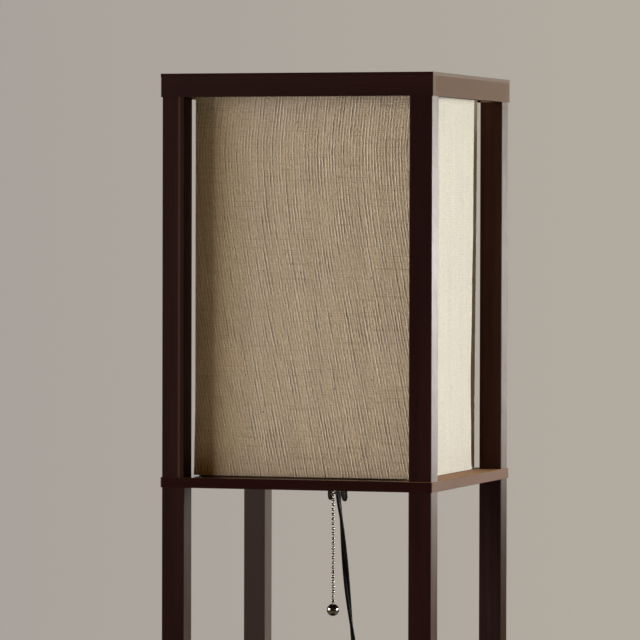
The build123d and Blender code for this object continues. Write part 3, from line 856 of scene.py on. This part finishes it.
def strapOutline(inner, outer):
    s = tie
    (innerIn, innerHigh), (outerIn, outerHigh) = s["innerKnee"], s["outerKnee"]
    corners = [
        (inner, s["foot"]), (outer, s["foot"]), (outer, outerHigh),
        (outer - outerIn, s["top"]), (inner + innerIn, s["top"]), (inner, innerHigh),
    ]
    around = []
    for i, (x, z) in enumerate(corners):
        here = Vector((x, z))
        before, after = Vector(corners[i - 1]), Vector(corners[(i + 1) % len(corners)])
        a = here + (before - here).normalized() * s["corner"]
        b = here + (after - here).normalized() * s["corner"]
        for step in range(s["cornerSteps"] + 1):
            t = step / s["cornerSteps"]
            around.append(a * (1 - t) ** 2 + here * 2 * t * (1 - t) + b * t**2)
    return around


def makeTie():
    s = tie
    radii = [coilRadius(step * s["scan"]) for step in range(int(coil["widenFrom"] / s["scan"]))]
    inner, outer = min(radii) - s["inside"], coil["out"] + s["outside"]
    around = strapOutline(inner, outer)
    verts = [(p.x / 1000, side * s["wide"] / 2, p.y / 1000) for p in around for side in (-1, 1)]
    count = len(verts)
    faces = [(i, i + 1, (i + 3) % count, (i + 2) % count) for i in range(0, count, 2)]
    piece = meshPiece("coil_tie", verts, faces)
    addModifier(piece, "SOLIDIFY", thickness=s["thick"], offset=1)
    # the twisted tails on top
    clearSelection()
    middle, foot, tall = (inner + outer) / 2000, s["top"] / 1000, s["tail"]
    bpy.ops.mesh.primitive_cube_add(size=1, location=(middle, 0, foot + tall / 2))
    tail = nameNew("tail")
    tail.scale = (*s["tailSection"], tall)
    bpy.ops.object.transform_apply()
    cuts = s["tailCuts"]
    cutAcross(tail, [foot + tall * step / cuts for step in range(1, cuts)], (0, 0, 1))
    bpy.ops.object.mode_set(mode="OBJECT")
    for vertex in tail.data.vertices:
        share = max(0.0, (vertex.co.z - foot) / tall)
        spin = Matrix.Rotation(share * math.radians(s["tailTwist"]), 3, "Z")
        spun = spin @ Vector((vertex.co.x - middle, vertex.co.y, 0))
        lean = s["tailLean"] * share**1.5
        vertex.co = Vector((middle + spun.x - lean, spun.y, foot + share * tall * s["tailLow"]))
    joinInto(piece, tail)
    x, y = coil["centre"]
    turned = Matrix.Rotation(math.radians(s["angle"]), 4, "Z")
    piece.matrix_world = Matrix.Translation((x / 1000, y / 1000, 0)) @ turned
    settle(piece, finishes["blackPlastic"])
    return piece


plugPiece = makePlug()
tiePiece = makeTie()
for piece in (lampCord, plugPiece, tiePiece):
    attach(piece, "lamp_frame")
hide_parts("power_cord", "cord_coil")
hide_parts("plug_body")
print("lead, plug and tie made")


# The shade: one strip of cloth, folded at three corners, its two ends apart at the back right

shade = {
    "half": 0.1053, "low": 1.2312, "high": 1.5953, "thick": 0.0008, "fold": 0.0022, "foldSteps": 4,
    # height and place of the strip's two ends
    "backEdge": [(1.5953, 0.1050), (1.2312, 0.1031)],
    "freeEdge": [
        (1.5953, 0.0930), (1.4700, 0.0905), (1.3900, 0.0870),
        (1.3180, 0.0835), (1.2570, 0.0862), (1.2312, 0.0868),
    ],
    "columnStep": 0.0030, "rowStep": 0.0065,
    "hemTop": 0.0190, "hemLow": 0.0060, "hemProud": 0.00022, "hemStep": 0.0006,
    "bow": 0.0006, "ripple": 0.00016, "rippleTurns": 34, "rippleLean": 3.4,
    "sideTaper": 0.08, "endTaper": 0.10,
    # the front left fold opens a little towards the foot
    "opens": 0.0011, "opensFrom": 0.80, "opensReach": 0.030,
    # the right side's foot is tucked down
    "tuck": 0.0008, "tuckReach": 0.008,
}


def edgeAt(table, z):
    for (z1, y1), (z2, y2) in zip(table, table[1:]):
        if z >= z2:
            return y2 + (y1 - y2) * ease((z - z2) / (z1 - z2))
    return table[-1][1]


def stripColumns():
    # places along the strip with their plan point and outward direction, at the top edge
    h, r = shade["half"], shade["fold"]
    backEnd, freeEnd = shade["backEdge"][0][1], edgeAt(shade["freeEdge"], shade["high"])
    runs = [
        (Vector((backEnd, h)), Vector((-h + r, h)), Vector((0, 1))),
        (Vector((-h, h - r)), Vector((-h, -h + r)), Vector((-1, 0))),
        (Vector((-h + r, -h)), Vector((h - r, -h)), Vector((0, -1))),
        (Vector((h, -h + r)), Vector((h, freeEnd)), Vector((1, 0))),
    ]
    columns = []
    along = 0.0

    def add(place, out, run, panel, share):
        columns.append({"place": place, "out": out, "along": run, "panel": panel, "share": share})

    for i, (a, b, out) in enumerate(runs):
        length = (b - a).length
        count = round(length / shade["columnStep"])
        for step in range(count + 1):
            share = step / count
            add(a.lerp(b, share), out, along + length * share, i, share)
        along += length
        if i < 3:
            # the fold: a quarter turn, whose columns belong to no panel
            nextOut = runs[i + 1][2]
            for step in range(1, shade["foldSteps"]):
                angle = math.radians(90 / shade["foldSteps"] * step)
                turned = (out * math.cos(angle) + nextOut * math.sin(angle)).normalized()
                add(b - out * r + turned * r, turned, along + r * angle, None, 0.0)
            along += r * math.pi / 2
    return columns, along


def stripRows():
    s = shade
    hemEnd, footHem = s["high"] - s["hemTop"], s["low"] + s["hemLow"]
    marks = [s["high"], hemEnd + s["hemStep"], hemEnd, footHem, footHem - s["hemStep"], s["low"]]
    rows = []
    for a, b in zip(marks, marks[1:]):
        count = max(1, round((a - b) / s["rowStep"]))
        rows += [a + (b - a) * step / count for step in range(count)]
    return rows + [s["low"]]


def clothLift(column, z):
    # how far the cloth stands out of its plane: a slow bow, ripples and the hems' thickness
    s = shade
    share, panel = column["share"], column["panel"]
    tall, slack = s["high"] - s["low"], s["hemStep"] / 2
    down = (s["high"] - z) / tall
    inHem = down * tall < s["hemTop"] - slack or z < s["low"] + s["hemLow"] - slack
    proud = s["hemProud"] if inHem else 0.0
    if panel is None:
        return proud
    # ripples fade towards the folds, and towards neither of the strip's free ends
    before = 1.0 if panel == 0 else ease(share / s["sideTaper"])
    after = 1.0 if panel == 3 else ease((1 - share) / s["sideTaper"])
    hold = ease(down / s["endTaper"]) * ease((1 - down) / s["endTaper"])
    bow = s["bow"] * math.sin(math.pi * share) * (0.4 + 0.6 * math.sin(math.pi * down))
    lean = share * s["rippleTurns"] - down * down * s["rippleLean"]
    waves = math.sin(lean + 2.1 * panel) + 0.7 * math.sin(lean * 1.73 + 4 * down + panel)
    return proud + bow * hold + s["ripple"] * waves * before * after * (0.35 + 0.65 * hold)


def makeShade():
    s = shade
    columns, total = stripColumns()
    rows = stripRows()
    corner = Vector((-s["half"], -s["half"]))
    verts, uvs = [], []
    for z in rows:
        down = (s["high"] - z) / (s["high"] - s["low"])
        opens = s["opens"] * ease((down - s["opensFrom"]) / (1 - s["opensFrom"]))
        shift = edgeAt(s["freeEdge"], z) - edgeAt(s["freeEdge"], s["high"])
        backShift = edgeAt(s["backEdge"], z) - edgeAt(s["backEdge"], s["high"])
        for column in columns:
            place = column["place"].copy()
            if column["panel"] == 3:
                place.y += shift * column["share"] ** 2
            if column["panel"] == 0:
                place.x += backShift * (1 - column["share"]) ** 2
            place += column["out"] * clothLift(column, z)
            place.x -= opens * ease(1 - (place - corner).length / s["opensReach"])
            tucked = z == s["low"] and place.x > s["half"] - s["tuckReach"]
            verts.append((place.x, place.y, z - s["tuck"] if tucked else z))
            uvs.append((column["along"], s["high"] - z))
    wide = len(columns)
    faces = []
    for i in range(len(rows) - 1):
        for j in range(wide - 1):
            a = i * wide + j
            faces.append((a, a + wide, a + wide + 1, a + 1))
    piece = meshPiece("shade_cloth", verts, faces)
    layer = piece.data.uv_layers.new(name="strip")
    for loop in piece.data.loops:
        layer.data[loop.index].uv = uvs[loop.vertex_index]
    dress(piece, clothMaterial(), backingMaterial())
    if piece.data.polygons[0].normal.y < 0:
        editAll(piece)
        bpy.ops.mesh.flip_normals()
        bpy.ops.object.mode_set(mode="OBJECT")
    inward = {"offset": -1, "material_offset": 1, "material_offset_rim": 0}
    addModifier(piece, "SOLIDIFY", thickness=s["thick"], **inward)
    smooth(60)
    print("shade cloth", round(total, 4), "m round,", len(piece.data.polygons), "faces")
    return piece, total


shadeCloth, clothRound = makeShade()
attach(shadeCloth, "lamp_frame")
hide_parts("shade_front", "shade_back", "shade_left", "shade_right")
print("shade made")


# The wing nut: a hub with a collar and two swept ears, under the shade's board

wingNut = {
    "hub": 0.0125, "hubSides": 32, "low": 1.2130, "high": 1.2202, "bore": 0.0100, "turn": -39.0,
    "collar": 0.0016, "collarProud": 0.0006, "hubRound": 0.0004,
    "earAt": (0.0109, 1.2108), "earWide": 0.0092, "earTall": 0.0150, "earThick": 0.0028,
    "earSides": 36, "earLean": -14.0, "earRim": 0.0015, "earSunk": 0.0005, "earSlope": 0.0004,
    "earRound": 0.0012,
}


def makeHub():
    s = wingNut
    clearSelection()
    bpy.ops.mesh.primitive_cylinder_add(
        vertices=s["hubSides"], radius=s["hub"] / 2, depth=s["high"] - s["low"],
        location=(0, 0, (s["low"] + s["high"]) / 2),
    )
    hub = nameNew("wing_nut_moulding")
    bpy.ops.object.transform_apply()
    # open the bore
    editFaces(hub, lambda c, n: abs(n.z) > 0.9)
    bpy.ops.mesh.inset(thickness=(s["hub"] - s["bore"]) / 2)
    bpy.ops.mesh.bridge_edge_loops()
    foot, clear = s["high"] - s["collar"], s["bore"] / 2 + 0.0004
    cutAcross(hub, [foot], (0, 0, 1))
    raiseFaces(
        hub, lambda c, n: c.z > foot and abs(n.z) < 0.5 and c.xy.length > clear, s["collarProud"],
    )
    bevel(hub, s["hubRound"], 2, 50)
    return hub


def makeEar(side):
    # an upright oval tab with a sunk middle and a rounded rim
    s = wingNut
    clearSelection()
    bpy.ops.mesh.primitive_cylinder_add(
        vertices=s["earSides"], radius=0.5, depth=1, rotation=(math.radians(90), 0, 0),
    )
    ear = nameNew("ear")
    bpy.ops.object.transform_apply()
    ear.scale = (s["earWide"], s["earThick"], s["earTall"])
    bpy.ops.object.transform_apply()
    for facing in (1, -1):
        editFaces(ear, lambda c, n: n.y * facing > 0.86)
        bpy.ops.mesh.inset(thickness=s["earRim"])
        bpy.ops.mesh.inset(thickness=s["earSlope"])
        bpy.ops.transform.translate(value=(0, -facing * s["earSunk"], 0))
    bevel(ear, s["earRound"], 4, 60)
    lean = Matrix.Rotation(math.radians(side * s["earLean"]), 4, "Y")
    ear.matrix_world = Matrix.Translation((side * s["earAt"][0], 0, s["earAt"][1])) @ lean
    return ear


def makeWingNut():
    hub = makeHub()
    joinInto(hub, makeEar(1), makeEar(-1))
    hub.matrix_world = Matrix.Rotation(math.radians(wingNut["turn"]), 4, "Z")
    settle(hub, finishes["blackPlastic"])
    return hub


wingPiece = makeWingNut()
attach(wingPiece, "wing_nut")
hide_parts("wing_nut")
print("wing nut made")


# Finishes of the carried-over pieces

# painted light: the lighter tones given to the faces that look along X, towards the lamps at both sides
paintedSideLight = (0.030, 0.012, 0.003)
boardSideLight = (0.124, 0.058, 0.030)
# the grain's axis, how much rougher than plain, gloss, and what differs from plain wood
woods = {
    "postWood": ("Z", -0.015, 0.120, {"sideLight": (0.036, 0.011, 0.001)}),
    "dullPostWood": ("Z", 0.12, 0.05, {"sideLight": paintedSideLight}),
    "hazyPostWood": ("Z", 0.14, 0.34, {"sideLight": (0.061, 0.031, 0.014), "endRough": 0.62}),
    # painted light: the back right posts' copies have lifted, brighter tones
    "backPostWood": ("Z", -0.05, 0.018, {"sideLight": (0.020, 0.006, 0.001), "lift": (1.6, 2.7, 3.0)}),
    "warmPostWood": ("Z", 0.02, 0.055, {"sideLight": paintedSideLight, "lift": (3.0, 3.5, 2.1)}),
    "paleLinePostWood": ("Z", 0.12, 0.06, {"seam": (-0.1133, -0.1114, 0.30)}),
    "frontRailWood": ("X", 0.03, 0.10, {"sideLight": (0.128, 0.076, 0.047), "endRough": 0.60}),
    "sideRailWood": (
        "Y", 0.12, 0.05, {"sideLight": (0.126, 0.076, 0.048), "endRough": 0.62, "topRough": 0.6},
    ),
    "boardWood": ("X", 0.06, 0.12, {"sideLight": boardSideLight, "endRough": 0.70, "topRough": 0.70}),
    # the shade board's pale warm top is painted light and reflection
    "shadeBoardWood": (
        "X", -0.16, 0.20, {"sideLight": boardSideLight, "endRough": 0.60, "topLight": (0.44, 0.235, 0.112)},
    ),
    "capWood": (
        "X", 0.06, 0.05, {"sideLight": (0.165, 0.120, 0.092), "endRough": 0.60, "topRough": 0.6},
    ),
}
for name, (*plain, other) in woods.items():
    finishes[name] = woodMaterial(name, *plain, **other)
cornerWood = {
    "front_left": "dullPostWood", "front_right": "postWood",
    "back_left": "hazyPostWood", "back_right": "backPostWood",
}
for level in ("upper", "second", "third", "lowest"):
    for corner, finish in cornerWood.items():
        dress(nodes[f"{level}_post_{corner}"], finishes[finish])
wornBy = {
    "paleLinePostWood": ["upper_post_front_left"],
    "warmPostWood": ["upper_post_back_right"],
    "frontRailWood": ["front_rail", "back_rail"],
    "sideRailWood": ["left_rail", "right_rail"],
    "shadeBoardWood": ["shade_board"],
    "boardWood": ["upper_shelf", "middle_shelf", "lower_shelf"],
    "capWood": ["top_cap"],
    "postWood": ["feet"],
    "bareWood": ["corner_blocks"],
    "glideGrey": ["glides"],
    "zincSteel": ["top_screws", "joint_studs", "socket_washer", "socket_nut", "lever_pin", "nipple"],
    "yellowBrass": ["post_inserts", "centre_contact", "plug_blades"],
    "wireSteel": ["shade_rings"],
    "socketBlack": ["socket_cap", "socket_shell", "socket_body"],
    "brightBrass": ["screw_shell", "switch_lever", "bulb_base"],
    "nickelBeads": ["chain_top", "chain_knuckle", "pull_chain"],
    "chromed": ["pull_ball"],
    "greyNylon": ["cord_bushing"],
    "leadSheath": ["inner_leads"],
    "opalGlass": ["bulb_glass"],
}
for finish, names in wornBy.items():
    for name in names:
        dress(nodes[name], finishes[finish])
print("carried-over pieces painted")


# Floor, world and lamps

room = {
    "floorReach": 10.0,
    "floorSides": 128,
    "floorDrop": 0.0005,
    "floor": (0.62, 0.58, 0.53),
    "floorDark": 0.965,
    "floorMottle": ((3, 3, 3), 4, 0.6),
    "floorRough": 0.75,
    "floorShine": (0.24, 0.20, 0.16, 1),
    "floorSoft": (0.125, 0.117, 0.106, 1),
    "floorGlow": (0.385, 0.352, 0.312, 1),
    "wallLeft": (0.400, 0.360, 0.330),
    "wallRight": (0.446, 0.408, 0.352),
    "wallTurn": (-0.37, -0.24),
    "behind": (0.36, 0.33, 0.30),
    "front": (0.118, 0.056, 0.012),
    "shineBehind": (0.125, 0.100, 0.078),
    "shineFront": (0.030, 0.026, 0.023),
    "backTurn": (-0.25, 0.35),
    "shineLow": (0.80, 0.76, 0.72),
    # the low window's edges: foot, head, right and back
    "lowEdges": [("Z", 0.02, 0.06), ("Z", 0.30, 0.24), ("X", -0.12, -0.18), ("Y", 0.85, 0.90)],
}


def makeFloor():
    s = room
    clearSelection()
    bpy.ops.mesh.primitive_circle_add(
        vertices=s["floorSides"], radius=s["floorReach"], fill_type="NGON", location=(0, 0, -s["floorDrop"]),
    )
    floor = nameNew("paleFloor")
    material, tree, skin = newMaterial("paleFloorPaint")
    darker = [v * s["floorDark"] for v in s["floor"]]
    tone = mixColour(noise(objectCoords(tree), *s["floorMottle"]), darker, s["floor"])
    setSockets(skin, {"Base Color": tone, "Roughness": s["floorRough"]})
    # seen straight the floor is plain and pale, with soft shadows; in the varnish it shows dimly
    way = addNode(tree, "LightPath", {}).outputs
    dim, soft = (
        addNode(tree, "BsdfDiffuse", {"Color": s[key]}).outputs["BSDF"] for key in ("floorShine", "floorSoft")
    )
    glow = addNode(tree, "Emission", {"Color": s["floorGlow"]}).outputs["Emission"]
    plain = addNode(tree, "AddShader", {0: soft, 1: glow}).outputs["Shader"]
    shader = mixShader(way["Is Glossy Ray"], skin.outputs["BSDF"], dim)
    coverWith(tree, mixShader(way["Is Camera Ray"], shader, plain))
    dress(floor, material)


def makeWorld():
    s = room
    world = bpy.data.worlds.new("room")
    scene.world = world
    world.use_nodes = True
    tree = world.node_tree
    tree.nodes.clear()
    coords = addNode(tree, "TexCoord", {})
    axes = dict(zip("XYZ", axesOf(coords.outputs["Generated"])))
    wall = mixColour(spread(axes["X"], *s["wallTurn"]), s["wallLeft"], s["wallRight"])
    back = spread(axes["Y"], *s["backTurn"])
    around = mixColour(back, s["front"], s["behind"])
    shine = mixColour(back, s["shineFront"], s["shineBehind"])
    # a second bright window low at the back left, seen only in the varnish of the boards
    low = times(*(spread(axes[axis], start, end) for axis, start, end in s["lowEdges"]))
    shine = mixColour(low, shine, s["shineLow"])
    way = addNode(tree, "LightPath", {}).outputs
    around = mixColour(way["Is Glossy Ray"], around, shine)
    glow = addNode(tree, "Background", {"Color": mixColour(way["Is Camera Ray"], around, wall)})
    addNode(tree, "OutputWorld", {"Surface": glow.outputs["Background"]})


lampRig = {
    "backWindow": {
        "place": (1.77, 6.0, 1.35), "aim": (0, 0, 1.35), "size": (0.81, 0.82),
        "power": 36.5, "colour": (1.0, 0.945, 0.90),
    },
    "rightKey": {
        "place": (2.7, 0.7, 1.42), "aim": (0, 0, 1.4), "size": (1.8, 0.7),
        "power": 119.0, "colour": (0.875, 0.955, 1.0),
    },
    "leftFill": {
        "place": (-2.45, -1.28, 1.62), "aim": (0, 0, 1.3), "size": (2.4, 1.4),
        "power": 98.0, "colour": (1.0, 0.892, 0.770),
    },
}


def makeLamps():
    for name, s in lampRig.items():
        data = bpy.data.lights.new(name, "AREA")
        data.shape = "RECTANGLE"
        data.size, data.size_y = s["size"]
        data.energy = s["power"]
        data.color = s["colour"]
        lampObject = bpy.data.objects.new(name, data)
        lampObject.location = s["place"]
        way = Vector(s["aim"]) - Vector(s["place"])
        lampObject.rotation_euler = way.to_track_quat("-Z", "Y").to_euler()
        lampObject.visible_camera = False
        scene.collection.objects.link(lampObject)


makeFloor()
makeWorld()
makeLamps()
scene.view_settings.view_transform = "Standard"
print("room and lamps set")
